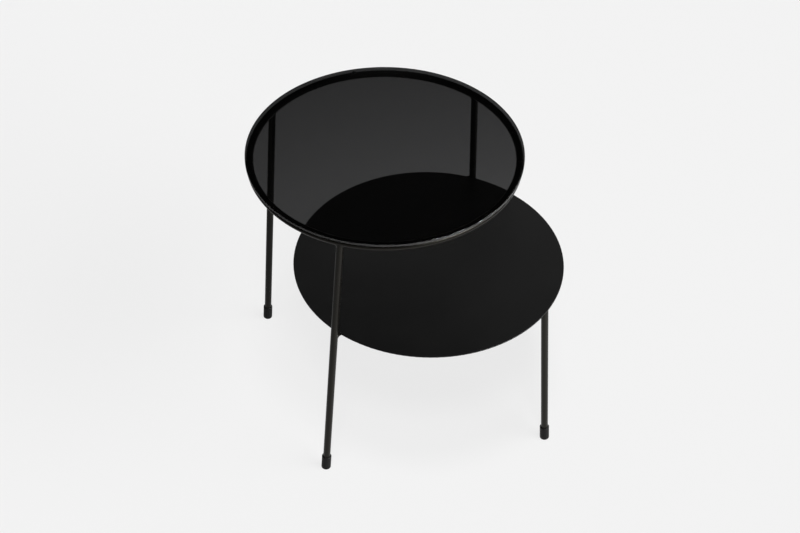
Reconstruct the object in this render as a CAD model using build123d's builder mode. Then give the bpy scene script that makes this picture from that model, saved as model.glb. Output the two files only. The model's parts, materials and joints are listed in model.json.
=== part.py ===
from build123d import *
from math import cos, radians, sin, sqrt
import os

# Two-tier round side table. A glass top lies on a ring of round tube, a sheet-metal
# shelf sits lower and further to the right, and four splayed tube legs carry them.
# Origin: on the floor, midway between the feet. +X runs from the left foot to the
# right foot, +Y to the back foot, +Z up. The XZ plane is the table's plane of symmetry.

os.makedirs("parts", exist_ok=True)

# Driving dimensions, in millimetres and degrees
tier_radius = 225.0  # glass top and shelf have the same radius
table_height = 502.0  # floor to the top of the glass
shelf_height = 304.0  # floor to the top of the shelf
ring_x = -36.0  # centre of the ring and of the glass
shelf_x = 49.5  # centre of the shelf

glass_thickness = 5.0
glass_arris = 0.8  # rounding of the polished glass edge
shelf_thickness = 2.5
shelf_edge_round = 0.6

tube_diameter = 12.0
tube_wall = 1.2
ring_inset = 7.5  # glass edge to the centreline of the ring tube
ring_leg_angle = 77.2  # front and back legs on the ring, measured from +X
foot_reach = 288.0  # origin to the left foot and to the right foot
cope_drop = 3.0  # leg tubes stop this far short of the ring's centreline
rim_gap = 0.2  # between the shelf's rim and a passing leg, bridged by the weld
vent_diameter = 4.0

pad_diameter = 8.0
pad_gap = 0.5  # what the pad leaves between the ring and the glass
pad_skirt = 1.4  # how far the pad drapes down the ring tube
pad_count = 4

cap_diameter = 16.0
cap_height = 28.0
cap_floor = 4.0
cap_top_chamfer = 1.2
cap_bottom_round = 2.4
cap_sink = 0.4  # trimmed off level with the floor, for a flat contact patch

ring_bead = 2.5  # leg size of the weld beads at the ring
rim_bead = 5.0  # and of those between a passing leg and the shelf's rim
under_bead = 3.0  # and of the one around the short leg, under the shelf
bead_root = 1.2  # how far a bead under the shelf runs on behind the tube's surface
bead_angle = 45.0

# Derived dimensions
tube_radius = tube_diameter / 2
bore_radius = tube_radius - tube_wall
ring_radius = tier_radius - ring_inset
glass_bottom = table_height - glass_thickness
ring_z = glass_bottom - pad_gap - tube_radius
shelf_bottom = shelf_height - shelf_thickness
shelf_middle = shelf_height - shelf_thickness / 2

# The front and back legs stand with their feet midway between the other two, start at
# the ring, and meet the shelf's rim where they pass it: that sets how far they splay.
side_top_x = ring_x + ring_radius * cos(radians(ring_leg_angle))
side_top_y = ring_radius * sin(radians(ring_leg_angle))
fall_to_shelf = (ring_z - shelf_middle) / ring_z
touch_x = side_top_x * (1 - fall_to_shelf)
touch_y = sqrt((tier_radius + tube_radius + rim_gap) ** 2 - (touch_x - shelf_x) ** 2)
side_reach = side_top_y + (touch_y - side_top_y) / fall_to_shelf

ring_axis = Axis((ring_x, 0, 0), (0, 0, 1))
ring_plane = Plane((ring_x, 0, ring_z), x_dir=(1, 0, 0), z_dir=(0, -1, 0))

# Centreline of each leg: where it meets the floor, and its upper end
foot_points = {
    "left": Vector(-foot_reach, 0, 0),
    "front": Vector(0, -side_reach, 0),
    "back": Vector(0, side_reach, 0),
    "right": Vector(foot_reach, 0, 0),
}
top_points = {
    "left": Vector(ring_x - ring_radius, 0, ring_z),
    "front": Vector(side_top_x, -side_top_y, ring_z),
    "back": Vector(side_top_x, side_top_y, ring_z),
    "right": Vector(shelf_x + ring_radius, 0, shelf_bottom),
}
leg_planes = {
    side: Plane(foot_points[side], z_dir=top_points[side] - foot_points[side])
    for side in foot_points
}
leg_lengths = {side: (top_points[side] - foot_points[side]).length for side in foot_points}
ring_sides = ("left", "front", "back")
rim_sides = ("front", "back")


def save(piece, name):
    """Label a finished piece and write it to its own STEP file."""
    piece.part.label = name
    export_step(piece.part, f"parts/{name}.step")


# Round glass top with a polished, slightly rounded edge
with BuildPart() as glass_top:
    with BuildSketch(Plane((ring_x, 0, glass_bottom))):
        Circle(tier_radius)
    extrude(amount=glass_thickness)
    fillet(glass_top.edges(), radius=glass_arris)
save(glass_top, "glass_top")

# Hollow ring, with a vent hole down into each leg that hangs from it
with BuildPart() as top_ring:
    with BuildSketch(ring_plane):
        with Locations((ring_radius, 0)):
            Circle(tube_radius)
            Circle(bore_radius, mode=Mode.SUBTRACT)
    revolve(axis=ring_axis)
    with BuildSketch(Plane.XY.offset(ring_z)):
        with Locations([(top_points[side].X, top_points[side].Y) for side in ring_sides]):
            Circle(vent_diameter / 2)
    extrude(amount=-tube_diameter, mode=Mode.SUBTRACT)
save(top_ring, "top_ring")

# Clear pads that sit astride the ring and carry the glass
for index in range(pad_count):
    pad_angle = radians(360 / pad_count * (index + 0.5))
    pad_x = ring_x + ring_radius * cos(pad_angle)
    pad_y = ring_radius * sin(pad_angle)
    with BuildPart() as glass_pad:
        with BuildSketch(Plane((pad_x, pad_y, glass_bottom))):
            Circle(pad_diameter / 2)
        extrude(amount=-(pad_gap + pad_skirt))
        with BuildSketch(ring_plane):
            with Locations((ring_radius, 0)):
                Circle(tube_radius)
        revolve(axis=ring_axis, mode=Mode.SUBTRACT)
    save(glass_pad, f"glass_pad_{index + 1}")

# Flat round shelf of sheet steel
with BuildPart() as shelf:
    with BuildSketch(Plane((shelf_x, 0, shelf_bottom))):
        Circle(tier_radius)
    extrude(amount=shelf_thickness)
    fillet(shelf.edges(), radius=shelf_edge_round)
save(shelf, "shelf")

# Long legs: tubes from the foot cap up to the ring, coped to fit round it
for side in ring_sides:
    with BuildPart() as long_leg:
        tube_start = cap_floor - cap_sink
        with BuildSketch(leg_planes[side].offset(tube_start)):
            Circle(tube_radius)
            Circle(bore_radius, mode=Mode.SUBTRACT)
        extrude(amount=leg_lengths[side] - cope_drop - tube_start)
        with BuildSketch(ring_plane):
            with Locations((ring_radius, 0)):
                Circle(tube_radius)
        revolve(axis=ring_axis, mode=Mode.SUBTRACT)
    save(long_leg, f"leg_{side}")

# Short leg: a tube from its foot cap to the underside of the shelf, cut level there
with BuildPart() as leg_right:
    with BuildSketch(leg_planes["right"].offset(cap_floor - cap_sink)):
        Circle(tube_radius)
        Circle(bore_radius, mode=Mode.SUBTRACT)
    extrude(amount=leg_lengths["right"])
    split(bisect_by=Plane.XY.offset(shelf_bottom), keep=Keep.BOTTOM)
save(leg_right, "leg_right")

# Foot caps: closed sleeves in line with their legs, trimmed flat where they stand
for side in foot_points:
    with BuildPart() as foot_cap:
        with BuildSketch(leg_planes[side].offset(-cap_sink)):
            Circle(cap_diameter / 2)
        extrude(amount=cap_height)
        rims = foot_cap.edges().sort_by(Axis.Z)
        fillet(rims[0], radius=cap_bottom_round)
        rims = foot_cap.edges().filter_by(GeomType.CIRCLE).sort_by(Axis.Z)
        chamfer(rims[-1], length=cap_top_chamfer)
        with BuildSketch(leg_planes[side].offset(cap_floor - cap_sink)):
            Circle(tube_radius)
        extrude(amount=cap_height, mode=Mode.SUBTRACT)
        split(bisect_by=Plane.XY, keep=Keep.TOP)
    save(foot_cap, f"foot_cap_{side}")

# Weld beads at the ring: they fill the corner between the ring's underside and the leg
for side in ring_sides:
    bead_plane = leg_planes[side].offset(leg_lengths[side] - cope_drop / 2)
    with BuildPart() as ring_weld:
        with BuildSketch(bead_plane):
            Circle(tube_radius + ring_bead)
        extrude(amount=-(tube_diameter + ring_bead))
        with BuildSketch(ring_plane):
            with Locations((ring_radius, 0)):
                Circle(tube_radius + ring_bead)
        revolve(axis=ring_axis, mode=Mode.INTERSECT)
        with BuildSketch(ring_plane):
            with Locations((ring_radius, 0)):
                Circle(tube_radius)
        revolve(axis=ring_axis, mode=Mode.SUBTRACT)
        with BuildSketch(bead_plane):
            Circle(tube_radius)
        extrude(amount=-2 * tube_diameter, mode=Mode.SUBTRACT)
    save(ring_weld, f"weld_ring_{side}")

# Weld beads under the rim: a wedge between the shelf's underside and a passing leg.
# Each cone ends inside its leg, so that the leg cuts it off cleanly.
for side in rim_sides:
    bead_y = touch_y if side == "back" else -touch_y
    with BuildPart() as rim_weld:
        with BuildSketch(Plane((touch_x, bead_y, shelf_bottom))):
            Circle(tube_radius + rim_bead)
        extrude(amount=-(rim_bead + bead_root), taper=bead_angle)
        with BuildSketch(Plane((shelf_x, 0, shelf_bottom))):
            Circle(tier_radius + bead_root)
        extrude(amount=-(rim_bead + bead_root), mode=Mode.INTERSECT)
        with BuildSketch(leg_planes[side]):
            Circle(tube_radius)
        extrude(amount=leg_lengths[side], mode=Mode.SUBTRACT)
    save(rim_weld, f"weld_shelf_{side}")

# Weld bead round the top of the short leg, kept within the shelf's flat underside
with BuildPart() as weld_shelf_right:
    with BuildSketch(Plane(top_points["right"])):
        Circle(tube_radius + under_bead)
    extrude(amount=-(under_bead + bead_root), taper=bead_angle)
    with BuildSketch(Plane((shelf_x, 0, shelf_bottom))):
        Circle(tier_radius - shelf_edge_round)
    extrude(amount=-(under_bead + bead_root), mode=Mode.INTERSECT)
    with BuildSketch(leg_planes["right"]):
        Circle(tube_radius)
    extrude(amount=leg_lengths["right"] + tube_diameter, mode=Mode.SUBTRACT)
save(weld_shelf_right, "weld_shelf_right")
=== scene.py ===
import json
from math import atan2, cos, pi, radians, sin, sqrt

import bpy
from mathutils import Matrix, Vector


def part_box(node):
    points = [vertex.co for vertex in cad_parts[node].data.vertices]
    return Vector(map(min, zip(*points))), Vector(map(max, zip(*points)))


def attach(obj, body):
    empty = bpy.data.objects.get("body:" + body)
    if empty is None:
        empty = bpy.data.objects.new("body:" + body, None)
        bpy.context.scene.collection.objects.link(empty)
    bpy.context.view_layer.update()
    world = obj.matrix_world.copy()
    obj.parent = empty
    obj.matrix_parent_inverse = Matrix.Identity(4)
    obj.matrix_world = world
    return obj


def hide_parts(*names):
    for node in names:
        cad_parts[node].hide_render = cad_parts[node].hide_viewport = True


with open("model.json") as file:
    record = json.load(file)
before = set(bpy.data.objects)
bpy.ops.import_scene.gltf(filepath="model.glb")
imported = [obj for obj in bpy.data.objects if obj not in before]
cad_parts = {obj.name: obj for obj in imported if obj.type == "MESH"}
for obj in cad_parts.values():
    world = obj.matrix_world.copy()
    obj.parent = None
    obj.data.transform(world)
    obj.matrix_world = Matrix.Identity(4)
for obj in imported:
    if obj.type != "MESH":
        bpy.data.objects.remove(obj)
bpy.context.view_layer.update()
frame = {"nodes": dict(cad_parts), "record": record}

# Two-tier side table: a smoked-glass top on a tube ring, a steel shelf set off below
# it, and four splayed tube legs. All lengths are in metres, in the CAD model's frame.

# ---------------------------------------------------------------- camera
VIEW_AZIMUTH = radians(30.24)  # the camera looks along +Y turned this far towards -X
VIEW_PITCH = radians(42.95)  # and down by this much
VIEW_ROLL = radians(-0.63)
CAMERA_PLACE = Vector((1.0917, -1.8821, 2.2901))
FOCAL_LENGTH = 79.09  # millimetres, on a sensor 36 mm wide

RIGHT = Vector((cos(VIEW_AZIMUTH), sin(VIEW_AZIMUTH), 0))
AWAY = Vector((-sin(VIEW_AZIMUTH), cos(VIEW_AZIMUTH), 0))
UP = Vector((0, 0, 1))


def add_camera():
    """A camera whose axes come from its azimuth, pitch and roll."""
    look = AWAY * cos(VIEW_PITCH) - UP * sin(VIEW_PITCH)
    down = look.cross(RIGHT)
    side = RIGHT * cos(VIEW_ROLL) + down * sin(VIEW_ROLL)
    top = RIGHT * sin(VIEW_ROLL) - down * cos(VIEW_ROLL)
    data = bpy.data.cameras.new("camera")
    data.lens = FOCAL_LENGTH
    data.sensor_width = 36.0
    data.clip_end = 100.0
    camera = bpy.data.objects.new("camera", data)
    turn = Matrix((side, top, -look)).transposed()
    camera.matrix_world = Matrix.Translation(CAMERA_PLACE) @ turn.to_4x4()
    bpy.context.collection.objects.link(camera)
    bpy.context.scene.camera = camera


# ---------------------------------------------------------------- node helpers
def new_material(name):
    """An empty node material with its output and a Principled shader."""
    material = bpy.data.materials.new(name)
    material.use_nodes = True
    tree = material.node_tree
    shader = tree.nodes["Principled BSDF"]
    return material, tree, shader


def add_node(tree, kind, **settings):
    """A node of that kind, with attributes set by name and inputs by label."""
    node = tree.nodes.new(kind)
    for key, value in settings.items():
        if hasattr(node, key):
            setattr(node, key, value)
        else:
            node.inputs[key.replace("_", " ").title()].default_value = value
    return node


def link(tree, source, output, target, socket):
    """Join an output of one node to an input of another."""
    tree.links.new(source.outputs[output], target.inputs[socket])


# ---------------------------------------------------------------- materials
GLOSS_SPREAD = 0.04  # how far a coat's roughness strays, each way
TONE_SPREAD = (0.85, 1.2)  # its darkest and lightest tone, as shares of its colour


def powder_coat(name, colour, sheen, specular, roughness, grain, depth):
    """Satin black powder coat: fine orange peel, with slight changes of tone and gloss."""
    material, tree, shader = new_material(name)
    shader.inputs["Specular IOR Level"].default_value = specular
    shader.inputs["Specular Tint"].default_value = (*sheen, 1)
    place = add_node(tree, "ShaderNodeTexCoord")

    peel = add_node(tree, "ShaderNodeTexNoise", scale=grain, detail=3.0, roughness=0.5)
    link(tree, place, "Object", peel, "Vector")
    bump = add_node(tree, "ShaderNodeBump", strength=depth, distance=0.0002)
    link(tree, peel, "Fac", bump, "Height")
    link(tree, bump, "Normal", shader, "Normal")

    cloud = add_node(tree, "ShaderNodeTexNoise", scale=14.0, detail=4.0, roughness=0.6)
    link(tree, place, "Object", cloud, "Vector")
    gloss = add_node(tree, "ShaderNodeMapRange")
    gloss.inputs["To Min"].default_value = roughness - GLOSS_SPREAD
    gloss.inputs["To Max"].default_value = roughness + GLOSS_SPREAD
    link(tree, cloud, "Fac", gloss, "Value")
    link(tree, gloss, "Result", shader, "Roughness")

    tint = add_node(tree, "ShaderNodeMix", data_type="RGBA")
    tint.inputs[6].default_value = (*[c * TONE_SPREAD[0] for c in colour], 1)
    tint.inputs[7].default_value = (*[c * TONE_SPREAD[1] for c in colour], 1)
    link(tree, cloud, "Fac", tint, "Factor")
    tree.links.new(tint.outputs[2], shader.inputs["Base Color"])
    return material


def smoked_glass():
    """Tempered glass whose dark tint comes from absorption through its thickness."""
    material, tree, shader = new_material("smoked_glass")
    shader.inputs["Base Color"].default_value = (1, 1, 1, 1)
    shader.inputs["Roughness"].default_value = 0.0
    shader.inputs["IOR"].default_value = 1.52
    shader.inputs["Transmission Weight"].default_value = 1.0
    absorb = add_node(tree, "ShaderNodeVolumeAbsorption")
    absorb.inputs["Color"].default_value = (0.08, 0.08, 0.085, 1)
    absorb.inputs["Density"].default_value = 415.0
    link(tree, absorb, "Volume", tree.nodes["Material Output"], "Volume")
    return material


def cap_plastic():
    """Matte black moulded plastic with a fine spark-eroded texture."""
    material, tree, shader = new_material("cap_plastic")
    shader.inputs["Base Color"].default_value = (0.0042, 0.0042, 0.0042, 1)
    shader.inputs["Roughness"].default_value = 0.55
    shader.inputs["Specular IOR Level"].default_value = 0.13
    place = add_node(tree, "ShaderNodeTexCoord")
    grain = add_node(tree, "ShaderNodeTexNoise", scale=2200.0, detail=2.0)
    link(tree, place, "Object", grain, "Vector")
    bump = add_node(tree, "ShaderNodeBump", strength=0.25, distance=0.0001)
    link(tree, grain, "Fac", bump, "Height")
    link(tree, bump, "Normal", shader, "Normal")
    return material


def clear_pad():
    """Clear soft elastomer."""
    material, tree, shader = new_material("clear_pad")
    shader.inputs["Base Color"].default_value = (0.9, 0.92, 0.93, 1)
    shader.inputs["Roughness"].default_value = 0.25
    shader.inputs["IOR"].default_value = 1.43
    shader.inputs["Transmission Weight"].default_value = 0.85
    return material


def paint(material, *nodes):
    """Give CAD nodes this material."""
    for name in nodes:
        for material_slot in frame["nodes"][name].material_slots:
            material_slot.material = material


# ---------------------------------------------------------------- sculpted pieces
RING_LOW, RING_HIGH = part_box("top_ring")
RING_CENTRE = (RING_LOW + RING_HIGH) / 2
TUBE_RADIUS = (RING_HIGH.z - RING_LOW.z) / 2
RING_RADIUS = (RING_HIGH.x - RING_LOW.x) / 2 - TUBE_RADIUS
SHELF_LOW, SHELF_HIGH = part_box("shelf")
SHELF_CENTRE = (SHELF_LOW + SHELF_HIGH) / 2
SHELF_RADIUS = (SHELF_HIGH.x - SHELF_LOW.x) / 2
SIDE_ANGLE = radians(77.2)  # where the front and back legs meet the ring
SIDE_TOP = Vector((cos(SIDE_ANGLE), sin(SIDE_ANGLE), 0)) * RING_RADIUS
FEET = {
    mount["name"].removeprefix("foot_"): Vector(mount["pos_m"])
    for mount in frame["record"]["mounts"]
    if mount["name"].startswith("foot_")
}
LEG_TOPS = {
    "left": RING_CENTRE - Vector((RING_RADIUS, 0, 0)),
    "front": RING_CENTRE + Vector((SIDE_TOP.x, -SIDE_TOP.y, 0)),
    "back": RING_CENTRE + SIDE_TOP,
    "right": Vector((SHELF_CENTRE.x + RING_RADIUS, 0, SHELF_LOW.z)),
}
SINK = 0.00005  # how far a bead's edges bed into the steel, so that no gap shows
RIPPLE_PITCH = 0.0012  # spacing of the ripples that a welding pass leaves
RIPPLE_DEPTH = 0.09  # how much they change the bead's fullness
BEAD_FULLNESS = 0.62  # 0 is hollow right into the corner, 1 is a flat chamfer
WEB_FULLNESS = 0.42
BEAD_STEPS = 8  # facets across a bead's face
BEAD_LOOPS = 216  # cross-sections round a leg
RING_BEAD = 0.003  # how far a bead reaches from the corner it fills
SHELF_BEAD = 0.0035
RIM_MARGIN = 0.0007  # the rounding of the shelf's edge, which a bead stays clear of
RIM_SPREAD = radians(80)  # how far round the passing leg the rim weld goes, each way
RIM_TURN = radians(55)  # where it leaves the rim
RIM_REACH = 0.0055  # from the leg along the rim, and under the shelf
RIM_DROP = 0.0085
LEAST_DROP = 0.35  # what is left of the drop, and of the height, at the web's ends
LEAST_HEIGHT = 0.3
RIM_STEP = 0.0003  # how far its top stays below the shelf's
RIM_LOOPS = 161
WEB_CURVE = 2.2  # how hollow the web's outline is, seen from above
GLASS_ARRIS = 0.0008
GLASS_SIDES = 360
ARRIS_STEPS = 8


def leg_axis(side, height):
    """The point of a leg's centreline at this height."""
    foot, top = FEET[side], LEG_TOPS[side]
    return foot + (top - foot) * ((height - foot.z) / (top.z - foot.z))


def heading(angle):
    """The level direction at this angle from +X."""
    return Vector((cos(angle), sin(angle), 0))


def add_piece(name, points, faces, material):
    """A smooth-shaded object from points and faces."""
    mesh = bpy.data.meshes.new(name)
    mesh.from_pydata(points, [], faces)
    mesh.shade_smooth()
    mesh.materials.append(material)
    piece = bpy.data.objects.new(name, mesh)
    bpy.context.collection.objects.link(piece)
    return piece


def skin(loops, closed):
    """Points and faces of a tube of quads through loops of equal length."""
    count = len(loops[0])
    points = [point for loop in loops for point in loop]
    faces = []
    for row in range(len(loops) if closed else len(loops) - 1):
        here, there = row * count, (row + 1) % len(loops) * count
        for i in range(count):
            j = (i + 1) % count
            faces.append((here + i, here + j, there + j, there + i))
    if not closed:
        faces.append(tuple(range(count - 1, -1, -1)))
        faces.append(tuple(range(len(points) - count, len(points))))
    return points, faces


def concave(start, end, corner, fullness):
    """A fillet's face: a curve from start to end, pulled towards the corner behind it."""
    middle = (start + end) / 2
    pull = corner + (middle - corner) * fullness
    curve = []
    for step in range(BEAD_STEPS + 1):
        t = step / BEAD_STEPS
        curve.append(start * (1 - t) ** 2 + pull * 2 * t * (1 - t) + end * t ** 2)
    return curve


def ripple(angle):
    """What to add to a bead's fullness here: it swells and dips once for each ripple."""
    return RIPPLE_DEPTH * sin(angle * TUBE_RADIUS / RIPPLE_PITCH * 2 * pi)


def ring_depth(point):
    """Distance of a point from the surface of the ring's tube, negative inside it."""
    flat = point - RING_CENTRE
    out = sqrt(flat.x ** 2 + flat.y ** 2) - RING_RADIUS
    return sqrt(out ** 2 + flat.z ** 2) - TUBE_RADIUS


def onto_ring(point):
    """The nearest point of the ring's surface, a little inside it."""
    flat = point - RING_CENTRE
    core = RING_CENTRE + Vector((flat.x, flat.y, 0)).normalized() * RING_RADIUS
    return core + (point - core).normalized() * (TUBE_RADIUS - SINK)


def ring_bead(side):
    """Loops of the bead in the corner between a leg and the ring above it."""
    loops = []
    for index in range(BEAD_LOOPS):
        angle = 2 * pi * index / BEAD_LOOPS
        out = heading(angle)
        low, high = RING_CENTRE.z - 4 * TUBE_RADIUS, RING_CENTRE.z
        while high - low > SINK / 10:
            height = (low + high) / 2
            if ring_depth(leg_axis(side, height) + out * TUBE_RADIUS) > 2 * SINK:
                low = height
            else:
                high = height
        corner = leg_axis(side, low) + out * TUBE_RADIUS
        on_leg = leg_axis(side, low - RING_BEAD) + out * (TUBE_RADIUS - SINK)
        on_ring = onto_ring(corner + out * RING_BEAD)
        inner = corner - out * RING_BEAD / 3
        curve = concave(on_ring, on_leg, corner, BEAD_FULLNESS + ripple(angle))
        loops.append([inner, *curve])
    return loops


def shelf_bead(side):
    """Loops of the bead round the short leg, under the shelf."""
    loops = []
    for index in range(BEAD_LOOPS):
        angle = 2 * pi * index / BEAD_LOOPS
        out = heading(angle)
        top = SHELF_LOW.z + SINK
        corner = leg_axis(side, top) + out * TUBE_RADIUS
        on_leg = leg_axis(side, top - SHELF_BEAD) + out * (TUBE_RADIUS - SINK)
        on_shelf = corner + out * SHELF_BEAD
        from_middle = Vector((on_shelf.x - SHELF_CENTRE.x, on_shelf.y, 0))
        overhang = max(0.0, from_middle.length - SHELF_RADIUS + RIM_MARGIN)
        on_shelf -= from_middle.normalized() * overhang
        inner = corner - out * SHELF_BEAD / 3
        curve = concave(on_shelf, on_leg, corner, BEAD_FULLNESS + ripple(angle))
        loops.append([inner, *curve])
    return loops


def rim_bead(side):
    """Loops of the web between the shelf's rim and the leg that passes it."""
    middle = leg_axis(side, SHELF_CENTRE.z)
    inward = SHELF_CENTRE - middle
    facing = atan2(inward.y, inward.x)
    thickness = SHELF_HIGH.z - SHELF_LOW.z - RIM_STEP
    bottom = SHELF_LOW.z + SINK
    loops = []
    for index in range(RIM_LOOPS):
        turn = RIM_SPREAD * (2 * index / (RIM_LOOPS - 1) - 1)
        out = heading(facing + turn)
        along = inward.dot(out)
        crossing = along ** 2 - inward.length_squared + SHELF_RADIUS ** 2
        rim = along - sqrt(max(0.0, crossing))
        fade = min(1.0, (RIM_SPREAD - abs(turn)) / (RIM_SPREAD - RIM_TURN))
        web = TUBE_RADIUS - SINK + RIM_REACH * fade ** WEB_CURVE
        edge = min(rim + 4 * SINK, web)
        under = max(edge, TUBE_RADIUS + RIM_REACH * fade) if rim < web else edge
        drop = RIM_DROP * (LEAST_DROP + (1 - LEAST_DROP) * fade)
        corner = leg_axis(side, bottom) + out * TUBE_RADIUS
        start = leg_axis(side, bottom) + out * (under + SINK)
        end = leg_axis(side, bottom - drop) + out * (TUBE_RADIUS - SINK)
        inner = TUBE_RADIUS - 10 * SINK
        top = SHELF_LOW.z + thickness * (LEAST_HEIGHT + (1 - LEAST_HEIGHT) * fade)
        loops.append([
            leg_axis(side, bottom - drop) + out * inner,
            leg_axis(side, top) + out * inner,
            leg_axis(side, top) + out * edge,
            leg_axis(side, bottom) + out * edge,
            *concave(start, end, corner, WEB_FULLNESS + ripple(turn)),
        ])
    return loops


def add_welds(material):
    """Every bead, in place of its plain CAD wedge."""
    beads = {f"weld_ring_{side}": (ring_bead(side), True) for side in ("left", "front", "back")}
    beads["weld_shelf_right"] = (shelf_bead("right"), True)
    for side in ("front", "back"):
        beads[f"weld_shelf_{side}"] = (rim_bead(side), False)
    for node, (loops, closed) in beads.items():
        piece = add_piece(f"bead_{node}", *skin(loops, closed), material)
        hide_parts(node)
        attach(piece, "frame")


def add_glass(material):
    """The glass top, turned finely enough for its polished edge to gleam evenly."""
    low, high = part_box("glass_top")
    centre = (low + high) / 2
    radius = (high.x - low.x) / 2
    core = radius - GLASS_ARRIS
    turns = [radians(90) * step / ARRIS_STEPS for step in range(ARRIS_STEPS + 1)]
    lower = [(core + GLASS_ARRIS * sin(t), low.z + GLASS_ARRIS - GLASS_ARRIS * cos(t)) for t in turns]
    upper = [(core + GLASS_ARRIS * cos(t), high.z - GLASS_ARRIS + GLASS_ARRIS * sin(t)) for t in turns]
    flat = radius - 2 * GLASS_ARRIS
    profile = [(flat, low.z), *lower, *upper, (flat, high.z)]
    loops = []
    for r, z in profile:
        ring = [heading(2 * pi * i / GLASS_SIDES) * r for i in range(GLASS_SIDES)]
        loops.append([Vector((centre.x, centre.y, z)) + point for point in ring])
    piece = add_piece("glass_disc", *skin(loops, False), material)
    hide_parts("glass_top")
    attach(piece, "top_glass")


# ---------------------------------------------------------------- studio
FLOOR_SIZE = 40.0
FLOOR_ALBEDO = 0.09
FLOOR_GLOW = 0.729  # the floor's own light, as the camera sees it
BACKDROP = 0.888  # the tone that the camera sees past the floor
POOL_CENTRE = RIGHT * 0.55 - AWAY * 0.65
POOL_RADIUS = 2.2
POOL_LEVEL = 1.5  # light that the middle of the pool sends up to the table


def camera_or_studio(tree, seen, target, socket):
    """A light's strength: one even tone in the camera's own rays, and input A in all others."""
    path = add_node(tree, "ShaderNodeLightPath")
    choice = add_node(tree, "ShaderNodeMix", data_type="FLOAT")
    link(tree, path, "Is Camera Ray", choice, "Factor")
    choice.inputs["B"].default_value = seen
    link(tree, choice, "Result", target, socket)
    return choice


def add_floor():
    """A pale seamless floor with a soft pool of light round the table."""
    mesh = bpy.data.meshes.new("floor")
    half = FLOOR_SIZE / 2
    corners = [(-half, -half, 0), (half, -half, 0), (half, half, 0), (-half, half, 0)]
    mesh.from_pydata(corners, [], [(0, 1, 2, 3)])
    floor = bpy.data.objects.new("floor", mesh)
    bpy.context.collection.objects.link(floor)
    material, tree, shader = new_material("floor")
    shader.inputs["Base Color"].default_value = (FLOOR_ALBEDO, FLOOR_ALBEDO, FLOOR_ALBEDO, 1)
    shader.inputs["Roughness"].default_value = 1.0
    shader.inputs["Specular IOR Level"].default_value = 0.0
    shader.inputs["Emission Color"].default_value = (1, 1, 1, 1)
    place = add_node(tree, "ShaderNodeTexCoord")
    centred = add_node(tree, "ShaderNodeMapping", vector_type="TEXTURE")
    centred.inputs["Location"].default_value = POOL_CENTRE
    centred.inputs["Scale"].default_value = (POOL_RADIUS, POOL_RADIUS, POOL_RADIUS)
    link(tree, place, "Object", centred, "Vector")
    glow = add_node(tree, "ShaderNodeTexGradient", gradient_type="QUADRATIC_SPHERE")
    link(tree, centred, "Vector", glow, "Vector")
    pool = add_node(tree, "ShaderNodeMapRange")
    pool.inputs["To Max"].default_value = POOL_LEVEL
    link(tree, glow, "Fac", pool, "Value")
    choice = camera_or_studio(tree, FLOOR_GLOW, shader, "Emission Strength")
    link(tree, pool, "Result", choice, "A")
    mesh.materials.append(material)


def light_from(tree, sight, axis, spread, level):
    """A round soft light, infinitely far away: full inside one angle, gone at another."""
    inner, outer = spread
    facing = add_node(tree, "ShaderNodeVectorMath", operation="DOT_PRODUCT")
    facing.inputs[1].default_value = axis.normalized()
    link(tree, sight, "Generated", facing, 0)
    fade = add_node(tree, "ShaderNodeMapRange", interpolation_type="SMOOTHSTEP")
    fade.inputs["From Min"].default_value = cos(radians(outer))
    fade.inputs["From Max"].default_value = cos(radians(inner))
    fade.inputs["To Max"].default_value = level
    link(tree, facing, "Value", fade, "Value")
    return fade


def strip_light(tree, sight, axis, spread, heights, level):
    """A wide low light. heights pairs the sine of an elevation with the share of its level."""
    split = add_node(tree, "ShaderNodeSeparateXYZ")
    link(tree, sight, "Generated", split, "Vector")
    ramp = add_node(tree, "ShaderNodeValToRGB")
    stops = ramp.color_ramp.elements
    stops[0].color = stops[1].color = (0, 0, 0, 1)
    for position, share in heights:
        stop = stops.new(position)
        stop.color = (share, share, share, 1)
    link(tree, split, "Z", ramp, "Fac")
    facing = light_from(tree, sight, axis, spread, level)
    both = add_node(tree, "ShaderNodeMath", operation="MULTIPLY")
    link(tree, ramp, "Color", both, 0)
    link(tree, facing, "Result", both, 1)
    return both


KEY_HEADING = RIGHT * 0.93 - AWAY * 0.37
KEY_SPREAD = (25, 45)  # degrees from its heading: full to the first, gone at the second
KEY_HEIGHTS = ((0.28, 0.0), (0.37, 1.0), (0.47, 1.0), (0.56, 0.0))
KEY_LEVEL = 34.0
GLOW_HEADING = AWAY + RIGHT * 0.85
GLOW_SPREAD = (10, 80)
GLOW_HEIGHTS = ((0.02, 0.3), (0.3, 0.8), (0.5, 1.0), (0.6, 0.0))
GLOW_LEVEL = 1.42
DARK_LEVEL = 0.015


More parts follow.
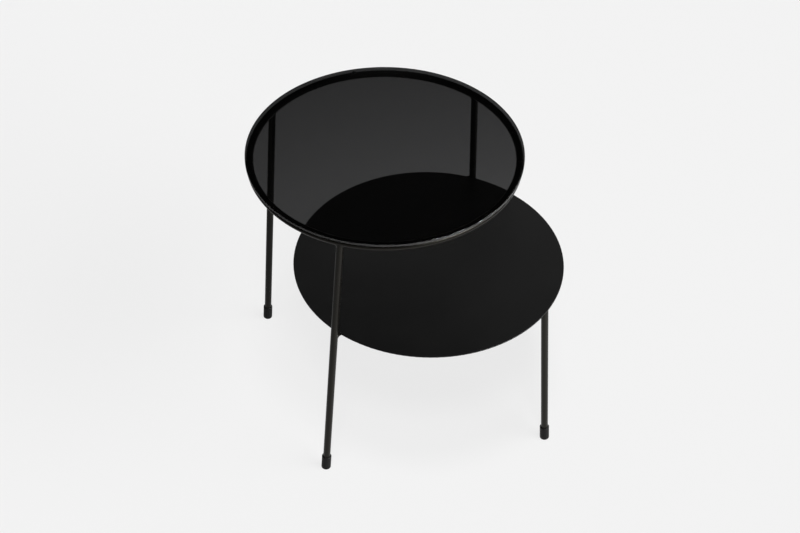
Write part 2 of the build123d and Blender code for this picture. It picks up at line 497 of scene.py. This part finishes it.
def add_world():
    """A dark studio with a key light on the right and a low glow behind."""
    world = bpy.data.worlds.new("studio")
    bpy.context.scene.world = world
    world.use_nodes = True
    tree = world.node_tree
    background = tree.nodes["Background"]
    sight = add_node(tree, "ShaderNodeTexCoord")
    lights = [
        strip_light(tree, sight, KEY_HEADING, KEY_SPREAD, KEY_HEIGHTS, KEY_LEVEL),
        strip_light(tree, sight, GLOW_HEADING, GLOW_SPREAD, GLOW_HEIGHTS, GLOW_LEVEL),
    ]
    total = add_node(tree, "ShaderNodeMath", operation="ADD")
    total.inputs[0].default_value = DARK_LEVEL
    link(tree, lights[0], 0, total, 1)
    for lamp in lights[1:]:
        step = add_node(tree, "ShaderNodeMath", operation="ADD")
        link(tree, total, "Value", step, 0)
        link(tree, lamp, 0, step, 1)
        total = step
    choice = camera_or_studio(tree, BACKDROP, background, "Strength")
    link(tree, total, "Value", choice, "A")
    background.inputs["Color"].default_value = (1, 1, 1, 1)


def add_overhead(name, towards, strength):
    """A soft overhead bank, hidden from reflections as behind a diffusing ceiling."""
    data = bpy.data.lights.new(name, "SUN")
    data.energy = strength
    data.angle = radians(12)
    lamp = bpy.data.objects.new(name, data)
    lamp.rotation_euler = towards.to_track_quat("Z", "Y").to_euler()
    lamp.visible_glossy = False
    bpy.context.collection.objects.link(lamp)


def add_studio():
    """Everything that isn't the table or the camera."""
    add_floor()
    add_world()
    add_overhead("top_bank", UP - AWAY * 0.13, 1.6)
    add_overhead("front_bank", UP - AWAY * 0.55, 1.65)
    bpy.context.scene.view_settings.view_transform = "Standard"


# ---------------------------------------------------------------- build
frame_coat = powder_coat("frame_coat", (0.0042, 0.0039, 0.0034), (1, 0.96, 0.84), 0.17, 0.28, 700.0, 0.2)
shelf_coat = powder_coat("shelf_coat", (0.002, 0.002, 0.002), (1, 1, 1), 0.22, 0.44, 1100.0, 0.3)
frame_nodes = [name for name in frame["nodes"] if name.startswith(("leg_", "weld_", "top_ring"))]
paint(frame_coat, *frame_nodes)
paint(shelf_coat, "shelf")
paint(cap_plastic(), *[name for name in frame["nodes"] if name.startswith("foot_cap_")])
paint(clear_pad(), *[name for name in frame["nodes"] if name.startswith("glass_pad_")])

add_welds(frame_coat)
add_glass(smoked_glass())
add_camera()
add_studio()
